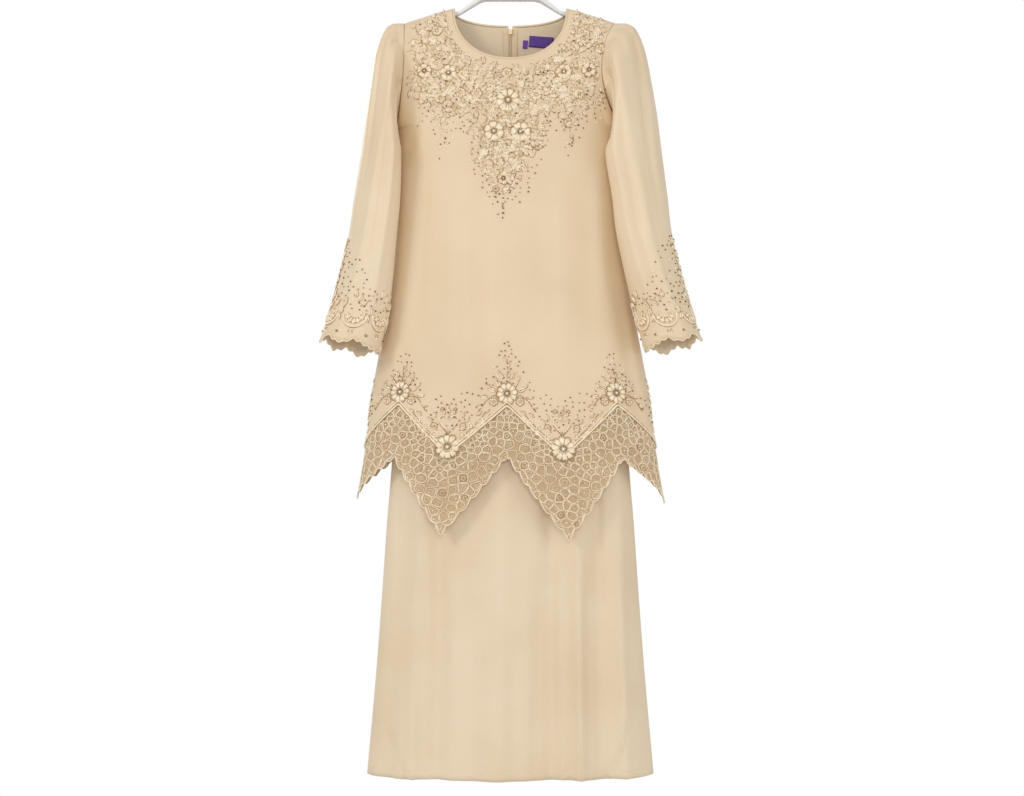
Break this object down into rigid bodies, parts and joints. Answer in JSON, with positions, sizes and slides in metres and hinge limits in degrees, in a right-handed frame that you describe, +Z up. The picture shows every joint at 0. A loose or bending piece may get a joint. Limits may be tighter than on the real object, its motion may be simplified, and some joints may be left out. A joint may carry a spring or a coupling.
{
  "type": "baju kurung set on a clothes hanger",
  "caption": "Long-sleeved tunic with a zigzag lace hem over a long flared skirt, both hanging from one clothes hanger.",
  "frame": {"origin": "inside top of the hanger's hook, where a rail carries it, in the middle of the garment", "axes": "+Z up, -Y towards the front of the garment, +X to the right of someone who looks at the front"},
  "size_m": [0.675, 0.1827, 1.483],
  "materials": {
    "cream_satin_crepe": "soft satin sheen",
    "corded_lace": "matte net with raised cord",
    "zip_tape": "woven, matte",
    "zip_coil_nylon": "moulded nylon",
    "zip_metal": "enamelled to match the cloth",
    "label_satin": "woven satin label, plain",
    "tab_satin": "woven satin tab, plain",
    "elastic_casing": "gathered casing",
    "ribbon": "satin ribbon",
    "hanger_plastic": "semi-gloss moulded",
    "hook_steel": "bright plated wire"
  },
  "bodies": {
    "set": {"tunic_front": "cream_satin_crepe", "tunic_back_left": "cream_satin_crepe", "tunic_back_right": "cream_satin_crepe", "sleeve_left": "cream_satin_crepe", "sleeve_right": "cream_satin_crepe", "neck_binding": "cream_satin_crepe", "lace_front": "corded_lace", "lace_back": "corded_lace", "zip_tape_left": "zip_tape", "zip_tape_right": "zip_tape", "zip_coil": "zip_coil_nylon", "zip_slider": "zip_metal", "neck_label": "label_satin", "size_tab": "tab_satin", "skirt_front": "cream_satin_crepe", "skirt_back": "cream_satin_crepe", "skirt_waistband": "elastic_casing", "skirt_loop_left": "ribbon", "skirt_loop_right": "ribbon", "hanger_body": "hanger_plastic", "hanger_hook": "hook_steel"},
    "pull": {"zip_pull": "zip_metal"}
  },
  "joints": [
    {"name": "zip_pull_hinge", "type": "hinge", "parent": "set", "child": "pull", "pos_m": [0, 0.02455, -0.1395], "axis": [1, 0, 0], "range_deg": [0, 150]}
  ]
}
